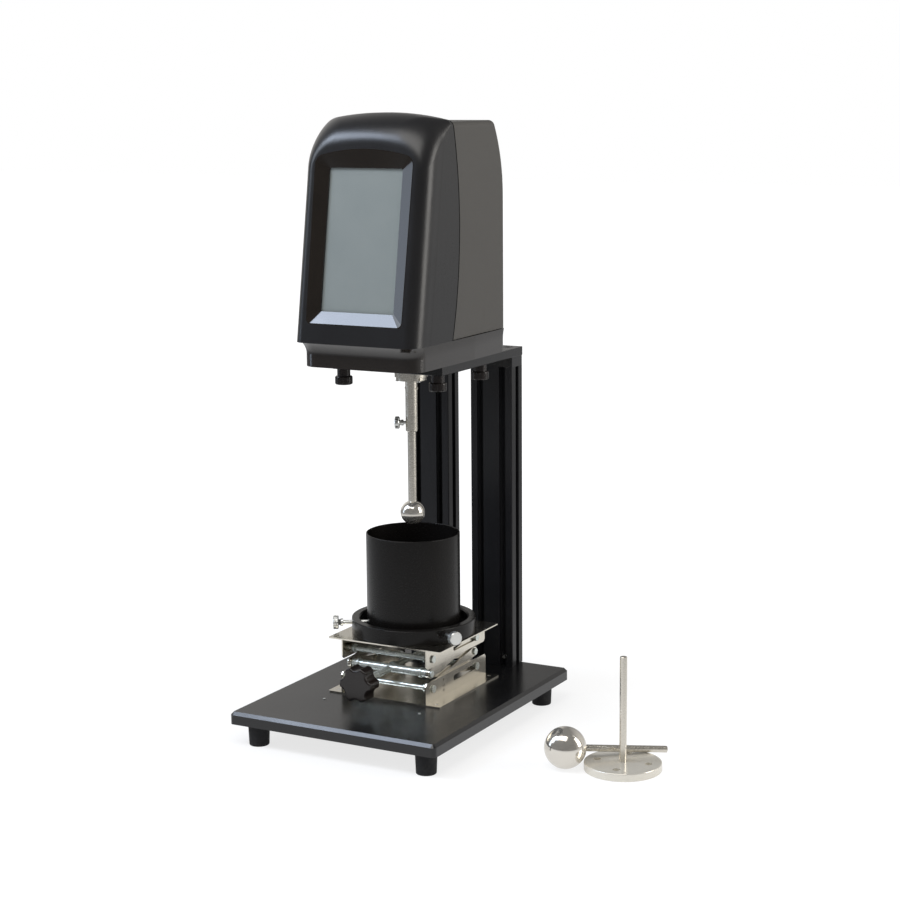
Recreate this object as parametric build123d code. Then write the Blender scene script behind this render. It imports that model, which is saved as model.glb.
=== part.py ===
from build123d import *

import os
from math import asin, atan2, cos, degrees, hypot, radians, sin, sqrt

# Rotational viscometer on a bench stand, in millimetres.
# X runs to the right seen from the front, the front faces -Y, and Z is up.
# The origin is on the bench, below the middle of the base plate.

# ---- stand -----------------------------------------------------------------
base_width = 268.0
base_depth = 338.0
base_thickness = 14.5
base_edge_chamfer = 3.5
base_corner_radius = 5.0
foot_height = 24.5
foot_top_radius = 12.5
foot_bottom_radius = 11.5
foot_left_margin = 29.0
foot_right_margin = 20.0
foot_front_margin = 17.0
foot_rear_margin = 34.0
foot_recess_radius = 5.5
foot_recess_depth = 10.0
foot_screw_radius = 2.5
foot_screw_bite = 9.0

column_width = 56.0
column_depth = 28.0
column_length = 369.5
column_gap = 31.0
column_edge_radius = 1.2
groove_pitch = 30.0
groove_mouth = 8.2
groove_lip = 2.5
groove_cavity_width = 15.0
groove_cavity_wall = 2.0
groove_depth = 8.5
column_core_radius = 3.4
column_cap_height = 12.0

arm_width = 145.0
arm_length = 202.0
arm_thickness = 10.6
arm_corner_radius = 2.0
column_bolt_head_radius = 6.5
column_bolt_head_height = 8.0
column_bolt_bite = 22.0
arm_bolt_head_radius = 7.0

# ---- measuring drive -------------------------------------------------------
spindle_y = 24.0
flange_radius = 19.2
flange_height = 15.5
flange_step_radius = 17.6
flange_step_height = 4.0
pilot_radius = 13.5
pilot_length = 17.0
bearing_radius = 11.0
bearing_height = 6.0
flange_bolt_circle = 16.2
flange_screw_radius = 1.5
drive_shaft_radius = 5.0
running_gap = 0.05
sleeve_radius = 7.0
sleeve_drop = 76.0
sleeve_pin_drop = 25.5
sleeve_pin_radius = 1.5
drive_stub_drop = 32.0
thumb_screw_drop = 66.0
thumb_screw_heading = 205.0
spindle_radius = 4.95
spindle_drop = 50.0
ball_radius = 14.3
ball_drop = 172.7
ball_bore_depth = 10.0

# ---- sample cup and its holder ---------------------------------------------
cup_radius = 55.25
cup_wall = 1.6
cup_floor = 3.0
cup_height = 116.0
cup_rest_gap = 0.3
holder_radius = 73.5
holder_bore_radius = 63.8
holder_height = 18.0
holder_floor = 3.0
holder_bolt_square = 60.0
clamp_screw_radius = 2.5
clamp_screw_rise = 11.0
clamp_screw_gap = 0.3
clamp_head_radius = 8.2
clamp_head_length = 6.6
clamp_head_reach = 95.8
clamp_headings = {"rear": 90.0, "left": 210.0, "right": 330.0}

# ---- lifting jack ----------------------------------------------------------
jack_plate_width = 150.0
jack_base_depth = 148.0
jack_top_depth = 144.0
jack_sheet = 1.5
jack_cheek_offset = 56.0
jack_pivot_y = -33.0
jack_low_pivot_rise = 15.0
jack_top_pivot_drop = 12.5
jack_step = 17.75
jack_span = 107.0
jack_base_cheek_height = 24.5
jack_top_cheek_depth = 22.5
arm_bar_width = 11.0
arm_bar_thickness = 2.0
arm_bar_spacing = 0.6
jack_rod_radius = 3.0
jack_travel_slot = 64.0
trunnion_radius = 5.0
jack_screw_radius = 3.5
jack_screw_tail = 9.0
jack_bush_radius = 6.2
jack_bush_length = 3.0
rivet_head_length = 1.5
jack_rod_head_radius = 4.4
jack_rod_head_length = 1.6
jack_washer_radius = 5.2
jack_washer_thickness = 1.4
cheek_hole_radius = 1.5
cheek_hole_rises = (7.0, 13.0, 19.5)
cheek_hole_setback = 26.0
jack_sleeve_radius = 4.2
jack_collar_radius = 6.0
jack_knob_radius = 21.0
jack_knob_length = 26.0
jack_knob_centre_y = -100.0
jack_knob_lobes = 6
jack_bolt_radius = 2.0
jack_bolt_head_radius = 3.5
jack_bolt_head_height = 4.0
jack_bolt_margin = 9.0

# ---- head ------------------------------------------------------------------
face_lean = 9.0
cover_rise = 28.4
cover_front_y = -107.0
cover_half_width = 80.0
crown_rise = 252.5
shoulder_rise = 243.0
cover_wall = 2.8
brow_height = 33.0
brow_depth = 36.0
cheek_width = 15.0
cheek_depth = 22.0
cover_corner_radius = 45.0
face_corner_radius = 24.0
seam_corner_radius = 8.0
seam_start_y = -21.0
seam_end_y = 8.0
nose_sections = 6
seam_curve = ((-22.0, -2.0), (-6.5, 185.0), (-17.0, 243.0))
seam_overlap = 4.0
seam_rim = 2.6
seam_gap = 0.6
rear_half_width = 77.0
rear_taper = 3.0
rear_y = 119.4
rear_top_rise = 242.0
rear_top_edge_y = 95.0
rear_shoulder_rise = 155.0
rear_edge_radius = 6.5
rear_crown_radius = 9.0
rear_front = -60.0
chin_half_width = 75.5
chin_front_y = -95.5
chin_flare_height = 14.0
chin_flare_front = 8.5
chin_flare_side = 1.5
chin_corner_radius = 20.0
chin_wall = 3.0
chin_floor = 4.0

window_width = 94.0
window_low_rise = 36.0
window_high_rise = 193.7
window_depth = 5.5
bezel_half_width = 61.5
bezel_top_spread = 1.5
bezel_low_rise = 21.5
bezel_side_rise = 205.0
bezel_arch_rise = 214.0
bezel_low_corner = 6.0
bezel_high_corner = 12.0
window_corner = 2.0
window_arch = 0.05
bezel_back = 2.5
bezel_land = 0.8
glass_margin = 5.0
glass_thickness = 1.8
display_thickness = 7.0
board_gap = 6.0
board_thickness = 1.6

clamp_knob_x = 62.0
clamp_knob_front_y = -24.0
clamp_knob_rear_y = 78.0
clamp_knob_spots = {
    "front_left": (-clamp_knob_x, clamp_knob_front_y),
    "front_right": (clamp_knob_x, clamp_knob_front_y),
    "rear_right": (clamp_knob_x, clamp_knob_rear_y),
}
clamp_knob_radius = 10.2
clamp_knob_height = 10.0
clamp_knob_neck_radius = 7.6
clamp_knob_neck_height = 8.0
clamp_knob_gap = 0.3
clamp_stud_radius = 3.0
clamp_stud_bite = 3.6

# ---- rear connectors -------------------------------------------------------
connector_rise = 31.0
inlet_x = -34.0
inlet_radius = 6.5
switch_x = 2.0
switch_width = 13.0
switch_height = 19.5
switch_throw = 14.0
rocker_pivot_depth = 5.0
rocker_play = 1.4
rocker_axle_radius = 1.2
usb_x = 34.0
vent_slots = 9
vent_pitch = 8.0
vent_width = 3.0
vent_length = 70.0
vent_rise = 105.0

# ---- inside the head -------------------------------------------------------
motor_plate_rise = 31.0
motor_plate_thickness = 4.0
motor_plate_width = 92.0
motor_plate_depth = 76.0
motor_square = 56.4
motor_length = 52.0
sensor_radius = 27.0
sensor_height = 12.0
coupling_radius = 11.0
coupling_length = 28.0
coupling_drop = 6.0
motor_shaft_radius = 4.0
leg_radius = 4.5
motor_plate_bore = 12.0

# ---- spare measuring bodies lying on the bench ------------------------------
spare_ball_radius = 23.5
spare_ball_spot = (241.9, -67.2)
spare_rod_radius = 3.8
spare_rod_length = 119.0
spare_rod_heading = 42.8
disc_radius = 43.0
disc_thickness = 9.0
disc_spot = (299.8, -42.0)
disc_rod_top = 128.0
disc_rod_radius = 4.0
disc_spigot_radius = 3.0
disc_spigot_bottom = 2.0
disc_hole_radius = 4.2
disc_hole_circle = 29.0

# ---- sizes that follow from those above -------------------------------------
base_top = foot_height + base_thickness
rear_edge = base_depth / 2
column_y = rear_edge - column_depth / 2
column_x = (column_gap + column_width) / 2
column_top = base_top + column_length
arm_bottom = column_top + column_cap_height
arm_top = arm_bottom + arm_thickness
arm_front = rear_edge - arm_length
sleeve_bottom = arm_bottom - sleeve_drop
sleeve_pin_height = arm_bottom - sleeve_pin_drop
drive_stub_bottom = arm_bottom - drive_stub_drop
thumb_screw_height = arm_bottom - thumb_screw_drop
spindle_top = arm_bottom - spindle_drop
ball_centre_height = arm_bottom - ball_drop
cover_bottom = arm_top + cover_rise
cover_crown = cover_bottom + crown_rise
cover_shoulder = cover_bottom + shoulder_rise
rear_top = cover_bottom + rear_top_rise
rear_shoulder_height = cover_bottom + rear_shoulder_rise
window_low = cover_bottom + window_low_rise
window_high = cover_bottom + window_high_rise
bezel_low = cover_bottom + bezel_low_rise
bezel_side_top = cover_bottom + bezel_side_rise
bezel_arch_top = cover_bottom + bezel_arch_rise
connector_height = cover_bottom + connector_rise
vent_bottom = cover_bottom + vent_rise
motor_plate_height = cover_bottom + motor_plate_rise
seam_points = [(y, cover_bottom + rise) for y, rise in seam_curve]
jack_centre_y = spindle_y
jack_floor = base_top + jack_sheet
jack_low_z = jack_floor + jack_low_pivot_rise
jack_mid_z = jack_low_z + jack_step
jack_top_z = jack_mid_z + jack_step
platform_bottom = jack_top_z + jack_top_pivot_drop
platform_top = platform_bottom + jack_sheet
jack_far_y = jack_pivot_y + jack_span
jack_arm_length = hypot(jack_span, jack_step)
cup_bottom = platform_top + holder_floor + cup_rest_gap
clamp_screw_z = platform_top + clamp_screw_rise
outer_layer = jack_cheek_offset - jack_sheet / 2 - arm_bar_spacing - arm_bar_thickness
inner_layer = outer_layer - arm_bar_spacing - arm_bar_thickness
washer_reach = inner_layer - 2.4
near_low, near_mid, near_top = [(jack_pivot_y, z) for z in (jack_low_z, jack_mid_z, jack_top_z)]
far_low, far_mid, far_top = [(jack_far_y, z) for z in (jack_low_z, jack_mid_z, jack_top_z)]
loose_hole = jack_rod_radius + running_gap
tight_hole = jack_rod_radius
coupling_low = motor_plate_height - coupling_drop - coupling_length
coupling_middle = coupling_low + coupling_length / 2
glass_front = window_depth + bezel_back
display_front = glass_front + glass_thickness
board_front = display_front + display_thickness + board_gap
rocker_pivot_y = rear_y - rocker_pivot_depth
rocker_radius = switch_height / 2 - rocker_play
LOW = (Align.CENTER, Align.CENTER, Align.MIN)
HIGH = (Align.CENTER, Align.CENTER, Align.MAX)


# ---- shared shapes ---------------------------------------------------------
def rod(radius, length, start, heading=(0, 0, 1)):
    """A round bar from a start point along a heading."""
    return Plane(origin=start, z_dir=heading) * Cylinder(radius, length, align=LOW)


def cross_rod(radius, half_length, y, z):
    """A round bar along X, centred on the middle plane."""
    return rod(radius, 2 * half_length, (-half_length, y, z), (1, 0, 0))


def on_side_plane(outline, x, thickness):
    """Extrude an outline drawn in Y and Z from x towards +X."""
    return extrude(Plane(origin=(x, 0, 0), x_dir=(0, 1, 0), z_dir=(1, 0, 0)) * outline, thickness)


def turned(points, centre):
    """Revolve an outline of radius and height points about the vertical through centre."""
    outline = Plane.XZ * make_face(Polyline(*points, close=True))
    return Pos(*centre) * revolve(outline, Axis.Z)


def socket_screw(shank, length, head, head_height, seat, heading):
    """Socket head screw: the head's underside is at seat and the shank runs along heading."""
    back = tuple(-value for value in heading)
    screw = rod(shank, length, seat, heading) + rod(head, head_height, seat, back)
    top = tuple(seat[i] + back[i] * head_height for i in range(3))
    socket = extrude(Plane(origin=top, z_dir=heading) * RegularPolygon(head * 0.5, 6), head_height * 0.55)
    return screw - socket


def mirrored(solid):
    """The solid and its mirror image in the middle plane."""
    return [solid, mirror(solid, Plane.YZ)]


def group(solids):
    return Compound([part for solid in solids for part in solid.solids()])


# ---- stand -----------------------------------------------------------------
def foot_spots():
    left, right = foot_left_margin - base_width / 2, base_width / 2 - foot_right_margin
    front, rear = foot_front_margin - base_depth / 2, base_depth / 2 - foot_rear_margin
    return [(x, y) for x in (left, right) for y in (front, rear)]


def column_bolt_spots():
    return [(side * column_x + step * groove_pitch / 2, column_y) for side in (-1, 1) for step in (-1, 1)]


def make_base_plate():
    plate = Pos(0, 0, foot_height) * Box(base_width, base_depth, base_thickness, align=LOW)
    plate = fillet(plate.edges().filter_by(Axis.Z), base_corner_radius)
    plate = chamfer(plate.edges().group_by(Axis.Z)[-1], base_edge_chamfer)
    for x, y in foot_spots():
        plate -= rod(foot_screw_radius, foot_screw_bite, (x, y, foot_height))
    for x, y in column_bolt_spots():
        plate -= rod(column_core_radius + 0.3, base_thickness, (x, y, foot_height))
        plate -= rod(column_bolt_head_radius + 0.5, column_bolt_head_height + 0.6, (x, y, foot_height))
    for x, y in jack_bolt_spots():
        plate -= rod(jack_bolt_radius + 0.2, base_thickness, (x, y, foot_height))
        plate -= rod(jack_bolt_head_radius + 0.4, jack_bolt_head_height + 0.4, (x, y, foot_height))
    return plate


def make_feet():
    feet = []
    for x, y in foot_spots():
        foot = Pos(x, y, 0) * Cone(foot_bottom_radius, foot_top_radius, foot_height, align=LOW)
        foot = fillet(foot.edges().sort_by(Axis.Z)[0], 1.2)
        foot -= rod(foot_recess_radius, foot_recess_depth, (x, y, 0))
        foot -= rod(foot_screw_radius + 0.2, foot_height, (x, y, 0))
        feet.append(foot)
    return group(feet)


def make_foot_screws():
    length = foot_height - foot_recess_depth + foot_screw_bite
    seats = [(x, y, foot_recess_depth) for x, y in foot_spots()]
    return group([socket_screw(foot_screw_radius, length, 4.5, 4.0, seat, (0, 0, 1)) for seat in seats])


def groove_outline():
    """Half-open T groove, drawn with its mouth on the X axis and its depth along -Y."""
    mouth = groove_mouth / 2
    cavity = groove_cavity_width / 2
    straight = groove_lip + groove_cavity_wall
    floor = cavity - (groove_depth - straight)
    right = [
        (mouth, 1), (mouth, -groove_lip), (cavity, -groove_lip), (cavity, -straight), (floor, -groove_depth),
    ]
    left = [(-x, y) for x, y in reversed(right)]
    return make_face(Polyline(*right, *left, close=True))


def make_column(side):
    outline = RectangleRounded(column_width, column_depth, column_edge_radius)
    for step in (-1, 1):
        outline -= Pos(step * groove_pitch / 2, column_depth / 2) * groove_outline()
        outline -= Pos(step * groove_pitch / 2, -column_depth / 2) * Rot(0, 0, 180) * groove_outline()
        outline -= Pos(step * column_width / 2, 0) * Rot(0, 0, -90 * step) * groove_outline()
        outline -= Pos(step * groove_pitch / 2, 0) * Circle(column_core_radius)
    return Pos(side * column_x, column_y, base_top) * extrude(outline, column_length)


def make_column_bolts():
    seat_z = foot_height + column_bolt_head_height + 0.6
    length = base_top - seat_z + column_bolt_bite
    head = (column_bolt_head_radius, column_bolt_head_height)
    seats = [(x, y, seat_z) for x, y in column_bolt_spots()]
    return group([socket_screw(column_core_radius, length, *head, seat, (0, 0, 1)) for seat in seats])


def make_column_caps():
    cap = Pos(column_x, column_y, column_top) * Box(column_width, column_depth, column_cap_height, align=LOW)
    cap = chamfer(cap.edges().filter_by(Axis.Z), 1.0)
    for x, y in column_bolt_spots():
        cap -= rod(column_core_radius + 0.2, column_cap_height, (x, y, column_top))
    return group(mirrored(cap))


def make_arm_plate():
    middle = (arm_front + rear_edge) / 2
    arm = Pos(0, middle, arm_bottom) * Box(arm_width, arm_length, arm_thickness, align=LOW)
    arm = fillet(arm.edges().filter_by(Axis.Z), arm_corner_radius)
    arm = chamfer(arm.edges().group_by(Axis.Z)[0], 0.8)
    arm -= rod(pilot_radius + running_gap, arm_thickness, (0, spindle_y, arm_bottom))
    for x, y in clamp_knob_spots.values():
        arm -= rod(clamp_stud_radius + 0.4, arm_thickness, (x, y, arm_bottom))
    for x, y in column_bolt_spots():
        arm -= rod(column_core_radius + 0.2, arm_thickness, (x, y, arm_bottom))
        sink = arm_bolt_head_radius - column_core_radius
        countersink = Cone(column_core_radius + 0.2, arm_bolt_head_radius + 0.1, sink, align=HIGH)
        arm -= Pos(x, y, arm_top) * countersink
    for x, y in flange_screw_spots():
        arm -= rod(flange_screw_radius, 8.0, (x, y, arm_bottom))
    return arm


def make_arm_bolts():
    cone = arm_bolt_head_radius - column_core_radius
    reach = arm_thickness + column_cap_height + column_bolt_bite
    bolts = []
    for x, y in column_bolt_spots():
        bolt = rod(column_core_radius, reach, (x, y, arm_top), (0, 0, -1))
        bolt += Pos(x, y, arm_top) * Cone(column_core_radius, arm_bolt_head_radius - 0.1, cone, align=HIGH)
        bolt -= Pos(x, y, arm_top) * extrude(RegularPolygon(2.9, 6), -cone)
        bolts.append(bolt)
    return group(bolts)


# ---- measuring drive -------------------------------------------------------
def flange_screw_spots():
    return [
        (flange_bolt_circle * cos(radians(a)), spindle_y + flange_bolt_circle * sin(radians(a)))
        for a in (-28.0, 92.0, 212.0)
    ]


def make_bearing_housing():
    low = arm_bottom - flange_height
    top = arm_bottom + pilot_length
    pocket = bearing_height + 0.8
    bore = drive_shaft_radius + 1.5
    housing = turned(
        [
            (bore, low + pocket), (bearing_radius, low + pocket), (bearing_radius, low),
            (flange_step_radius, low), (flange_step_radius, low + flange_step_height),
            (flange_radius, low + flange_step_height), (flange_radius, arm_bottom),
            (pilot_radius, arm_bottom), (pilot_radius, top), (bearing_radius, top),
            (bearing_radius, top - pocket), (bore, top - pocket),
        ],
        (0, spindle_y, 0),
    )
    for x, y in flange_screw_spots():
        housing -= rod(flange_screw_radius + 0.15, flange_height, (x, y, low))
    return housing


def make_bearings():
    low = arm_bottom - flange_height + 0.8
    high = arm_bottom + pilot_length - 0.8 - bearing_height
    rings = []
    for z in (low, high):
        shape = turned(
            [
                (drive_shaft_radius + running_gap, z), (7.0, z), (7.0, z + 0.5), (9.4, z + 0.5), (9.4, z),
                (bearing_radius, z), (bearing_radius, z + bearing_height), (9.4, z + bearing_height),
                (9.4, z + bearing_height - 0.5), (7.0, z + bearing_height - 0.5), (7.0, z + bearing_height),
                (drive_shaft_radius + running_gap, z + bearing_height),
            ],
            (0, spindle_y, 0),
        )
        rings.append(shape)
    return group(rings)


def make_drive_shaft():
    length = coupling_middle - 1.0 - drive_stub_bottom
    shaft = rod(drive_shaft_radius, length, (0, spindle_y, drive_stub_bottom))
    shaft = chamfer(shaft.edges().filter_by(GeomType.CIRCLE), 0.6)
    return shaft - cross_rod(sleeve_pin_radius, 20, spindle_y, sleeve_pin_height)


def make_shaft_coupling():
    coupling = rod(coupling_radius, coupling_length, (0, spindle_y, coupling_low))
    coupling = chamfer(coupling.edges().filter_by(GeomType.CIRCLE), 0.8)
    coupling -= rod(drive_shaft_radius, coupling_length / 2, (0, spindle_y, coupling_low))
    coupling -= rod(motor_shaft_radius, coupling_length / 2 + 1, (0, spindle_y, coupling_middle - 1))
    for step, side in ((-1, 1), (0, -1), (1, 1)):
        slit = Pos(side * coupling_radius * 0.4, spindle_y, coupling_middle + 3.5 * step)
        coupling -= slit * Box(2 * coupling_radius, 3 * coupling_radius, 0.8)
    return coupling


def make_motor_shaft():
    top = motor_plate_height + motor_plate_thickness + sensor_height - 0.5
    return rod(motor_shaft_radius, top - coupling_middle - 1, (0, spindle_y, coupling_middle + 1))


def make_spindle_sleeve():
    top = arm_bottom - flange_height - 0.6
    sleeve = rod(sleeve_radius, top - sleeve_bottom, (0, spindle_y, sleeve_bottom))
    sleeve = chamfer(sleeve.edges().filter_by(GeomType.CIRCLE), 0.7)
    sleeve -= rod(drive_shaft_radius, top - sleeve_bottom, (0, spindle_y, sleeve_bottom))
    sleeve -= cross_rod(sleeve_pin_radius, 20, spindle_y, sleeve_pin_height)
    direction = (cos(radians(thumb_screw_heading)), sin(radians(thumb_screw_heading)), 0)
    return sleeve - rod(2.0 + running_gap, 20, (0, spindle_y, thumb_screw_height), direction)


def make_sleeve_pin():
    return cross_rod(sleeve_pin_radius, sleeve_radius + 1.0, spindle_y, sleeve_pin_height)


def knurled_head(radius, length, teeth, plane):
    """Thumb screw head: a scalloped disc with bevelled rims, standing on the plane."""
    head = plane * Cylinder(radius, length, align=LOW)
    head = chamfer(head.edges().filter_by(GeomType.CIRCLE), min(0.9, length * 0.2))
    for tooth in range(teeth):
        angle = radians(360.0 / teeth * tooth)
        spot = plane * Pos((radius + 0.35) * cos(angle), (radius + 0.35) * sin(angle), 0)
        head -= spot * Cylinder(0.75, length, align=LOW)
    return head


def make_sleeve_thumb_screw():
    plane = Plane(
        origin=(0, spindle_y, thumb_screw_height),
        z_dir=(cos(radians(thumb_screw_heading)), sin(radians(thumb_screw_heading)), 0),
    )
    tip = spindle_radius + 0.1
    screw = plane * (Pos(0, 0, tip) * Cylinder(2.0, 14.5 - tip, align=LOW))
    screw += plane * (Pos(0, 0, 9.6) * Cylinder(3.6, 2.2, align=LOW))
    screw += plane * (Pos(0, 0, 11.8) * Cone(3.6, 2.6, 2.4, align=LOW))
    return screw + knurled_head(7.3, 5.4, 16, plane * Pos(0, 0, 14.2))


def make_spindle_shaft():
    bottom = ball_centre_height + ball_radius - ball_bore_depth
    shaft = rod(spindle_radius, spindle_top - bottom, (0, spindle_y, bottom))
    return chamfer(shaft.edges().filter_by(GeomType.CIRCLE), 0.5)


def make_measuring_ball():
    ball = Pos(0, spindle_y, ball_centre_height) * Sphere(ball_radius)
    bottom = ball_centre_height + ball_radius - ball_bore_depth
    return ball - rod(spindle_radius, 20, (0, spindle_y, bottom))


# ---- sample cup and holder --------------------------------------------------
def make_sample_cup():
    inner = cup_radius - cup_wall
    cup = rod(cup_radius, cup_height, (0, spindle_y, cup_bottom))
    cup = fillet(cup.edges().sort_by(Axis.Z)[0], 1.5)
    hollow = rod(inner, cup_height, (0, spindle_y, cup_bottom + cup_floor))
    hollow = fillet(hollow.edges().sort_by(Axis.Z)[0], 4.0)
    cup -= hollow
    rim = cup.edges().filter_by(GeomType.CIRCLE).sort_by(Axis.Z)[-2:]
    return fillet(rim, cup_wall * 0.42)


def holder_bolt_spots():
    half = holder_bolt_square / 2
    return [(x, spindle_y + y) for x in (-half, half) for y in (-half, half)]


def make_cup_holder():
    holder = rod(holder_radius, holder_height, (0, spindle_y, platform_top))
    holder = fillet(holder.edges().filter_by(GeomType.CIRCLE), 1.0)
    well = rod(holder_bore_radius, holder_height, (0, spindle_y, platform_top + holder_floor))
    holder -= well
    circles = holder.edges().filter_by(GeomType.CIRCLE)
    mouth = circles.filter_by(lambda e: abs(e.radius - holder_bore_radius) < 0.01).sort_by(Axis.Z)[-1]
    holder = chamfer(mouth, 1.6)
    for heading in clamp_headings.values():
        direction = (cos(radians(heading)), sin(radians(heading)), 0)
        holder -= rod(clamp_screw_radius + running_gap, 90, (0, spindle_y, clamp_screw_z), direction)
    for x, y in holder_bolt_spots():
        holder -= rod(2.1, holder_floor, (x, y, platform_top))
        holder -= Pos(x, y, platform_top + holder_floor) * Cone(2.1, 4.2, 2.1, align=HIGH)
    return holder


def make_cup_clamp_screw(heading):
    plane = Plane(
        origin=(0, spindle_y, clamp_screw_z), z_dir=(cos(radians(heading)), sin(radians(heading)), 0)
    )
    tip = cup_radius + clamp_screw_gap
    head_start = clamp_head_reach - clamp_head_length
    screw = plane * (Pos(0, 0, tip) * Cylinder(clamp_screw_radius, head_start - tip, align=LOW))
    screw += plane * (Pos(0, 0, head_start - 5.2) * Cylinder(4.4, 2.4, align=LOW))
    screw += plane * (Pos(0, 0, head_start - 2.8) * Cone(4.4, 3.0, 2.8, align=LOW))
    return screw + knurled_head(clamp_head_radius, clamp_head_length, 18, plane * Pos(0, 0, head_start))


# ---- lifting jack ----------------------------------------------------------
def jack_bolt_spots():
    half = jack_plate_width / 2 - jack_bolt_margin
    reach = jack_base_depth / 2 - jack_bolt_margin
    return [(x, jack_centre_y + y) for x in (-half, half) for y in (-reach, reach)]


def cheek_outline(depth, low, high, nose):
    """Side view of a jack cheek, with its free corners cut off."""
    front = jack_centre_y - depth / 2
    rear = jack_centre_y + depth / 2
    free, fixed = (high, low) if nose > 0 else (low, high)
    cut = abs(nose)
    step = cut if nose > 0 else -cut
    return make_face(
        Polyline(
            (front, fixed), (rear, fixed), (rear, free - step), (rear - cut, free), (front + cut, free),
            (front, free - step), close=True,
        )
    )


def travel_slot(z):
    """Slot for the sliding rod, from the rod's lowest jack position forwards."""
    rear = jack_far_y + jack_rod_radius + 4.0
    return Pos(rear - jack_travel_slot / 2, z) * SlotOverall(jack_travel_slot, 2 * jack_rod_radius + 0.6)


def jack_plate(depth, z):
    plate = Pos(0, jack_centre_y, z) * Box(jack_plate_width, depth, jack_sheet, align=LOW)
    return fillet(plate.edges().filter_by(Axis.Z), 2.0)


def make_jack_base():
    base = jack_plate(jack_base_depth, base_top)
    outline = cheek_outline(jack_base_depth, jack_floor, jack_floor + jack_base_cheek_height, 3.0)
    outline -= Pos(jack_pivot_y, jack_low_z) * Circle(jack_rod_radius)
    outline -= travel_slot(jack_low_z)
    for rise in cheek_hole_rises:
        outline -= Pos(jack_pivot_y + cheek_hole_setback, jack_floor + rise) * Circle(cheek_hole_radius)
    for x in (-jack_cheek_offset, jack_cheek_offset):
        base += on_side_plane(outline, x - jack_sheet / 2, jack_sheet)
    for x, y in jack_bolt_spots():
        base -= rod(jack_bolt_radius, jack_sheet, (x, y, base_top))
    return base


def make_jack_screws():
    """Screws from below the base plate, ending just under the top of the jack's sheet."""
    seat_z = foot_height + jack_bolt_head_height + 0.4
    head = (jack_bolt_head_radius, jack_bolt_head_height)
    seats = [(x, y, seat_z) for x, y in jack_bolt_spots()]
    reach = jack_floor - 0.1 - seat_z
    return group([socket_screw(jack_bolt_radius, reach, *head, seat, (0, 0, 1)) for seat in seats])


def make_platform():
    plate = jack_plate(jack_top_depth, platform_bottom)
    outline = cheek_outline(jack_top_depth, platform_bottom - jack_top_cheek_depth, platform_bottom, -3.0)
    outline -= Pos(jack_pivot_y, jack_top_z) * Circle(jack_rod_radius)
    outline -= travel_slot(jack_top_z)
    for x in (-jack_cheek_offset, jack_cheek_offset):
        plate += on_side_plane(outline, x - jack_sheet / 2, jack_sheet)
    for x, y in holder_bolt_spots():
        plate -= rod(2.0, jack_sheet, (x, y, platform_bottom))
    return plate


def arm_bars(layer, low_end, high_end, holes, riveted=False):
    """A pair of flat bars between two pivots; holes are the radii at the low end, middle and high end."""
    middle = ((low_end[0] + high_end[0]) / 2, (low_end[1] + high_end[1]) / 2)
    tilt = degrees(atan2(high_end[1] - low_end[1], high_end[0] - low_end[0]))
    outline = Pos(*middle) * Rot(0, 0, tilt) * SlotCenterToCenter(jack_arm_length, arm_bar_width)
    for spot, radius in zip((low_end, middle, high_end), holes):
        outline -= Pos(*spot) * Circle(radius)
    bar = on_side_plane(outline, layer, arm_bar_thickness)
    if riveted:
        bar += centre_rivet(layer, *middle)
    return group(mirrored(bar))


def centre_rivet(layer, y, z):
    """Pin fast in the bar at a layer, passing through the bar beside it to a head beyond."""
    inner, outer = inner_layer - 0.3, outer_layer + arm_bar_thickness + 0.3
    if layer == inner_layer:
        return rod(jack_rod_radius, outer - layer, (layer, y, z), (1, 0, 0))
    head = inner - rivet_head_length
    pin = rod(jack_rod_radius, layer + arm_bar_thickness - head, (head, y, z), (1, 0, 0))
    return pin + rod(jack_rod_head_radius, rivet_head_length, (head, y, z), (1, 0, 0))


def make_pivot_rod(y, z):
    """Plain rod across the jack with a domed head outside each cheek."""
    half = jack_cheek_offset + jack_sheet / 2 + 0.4
    bar = cross_rod(jack_rod_radius, half + jack_rod_head_length, y, z)
    for side in (-1, 1):
        bar += rod(jack_rod_head_radius, jack_rod_head_length, (side * half, y, z), (side, 0, 0))
        bar += rod(jack_washer_radius, jack_washer_thickness, (side * washer_reach, y, z), (-side, 0, 0))
    return bar


def make_trunnion(y, bore, collar):
    """Thick cross rod with journals for the bars at its ends and a cross hole for the screw."""
    half = inner_layer - 0.5
    journal_end = outer_layer + arm_bar_thickness + 0.3
    head_radius = jack_rod_head_radius - 0.4
    bar = cross_rod(trunnion_radius, half, y, jack_mid_z)
    bar += cross_rod(jack_rod_radius, journal_end, y, jack_mid_z)
    for side in (-1, 1):
        collar_x = side * (half - 3 * jack_bush_length)
        bar += rod(collar, jack_bush_length, (collar_x, y, jack_mid_z), (side, 0, 0))
        bar += rod(head_radius, jack_rod_head_length, (side * journal_end, y, jack_mid_z), (side, 0, 0))
    return bar - rod(bore, 40, (0, y - 20, jack_mid_z), (0, 1, 0))


def make_jack_screw():
    """Lifting screw, with its sleeve in front of the near trunnion and its retaining ring behind it."""
    front = jack_knob_centre_y
    rear = jack_far_y + trunnion_radius + jack_screw_tail
    screw = rod(jack_screw_radius, rear - front, (0, front, jack_mid_z), (0, 1, 0))
    screw = chamfer(screw.edges().filter_by(GeomType.CIRCLE), 0.6)
    clear = trunnion_radius + 0.3
    sleeve_start = jack_knob_centre_y + jack_knob_length / 2
    sleeve_length = jack_pivot_y - clear - sleeve_start
    screw += rod(jack_sleeve_radius, sleeve_length, (0, sleeve_start, jack_mid_z), (0, 1, 0))
    return screw + rod(jack_collar_radius, 5.0, (0, jack_pivot_y + clear, jack_mid_z), (0, 1, 0))


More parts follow.
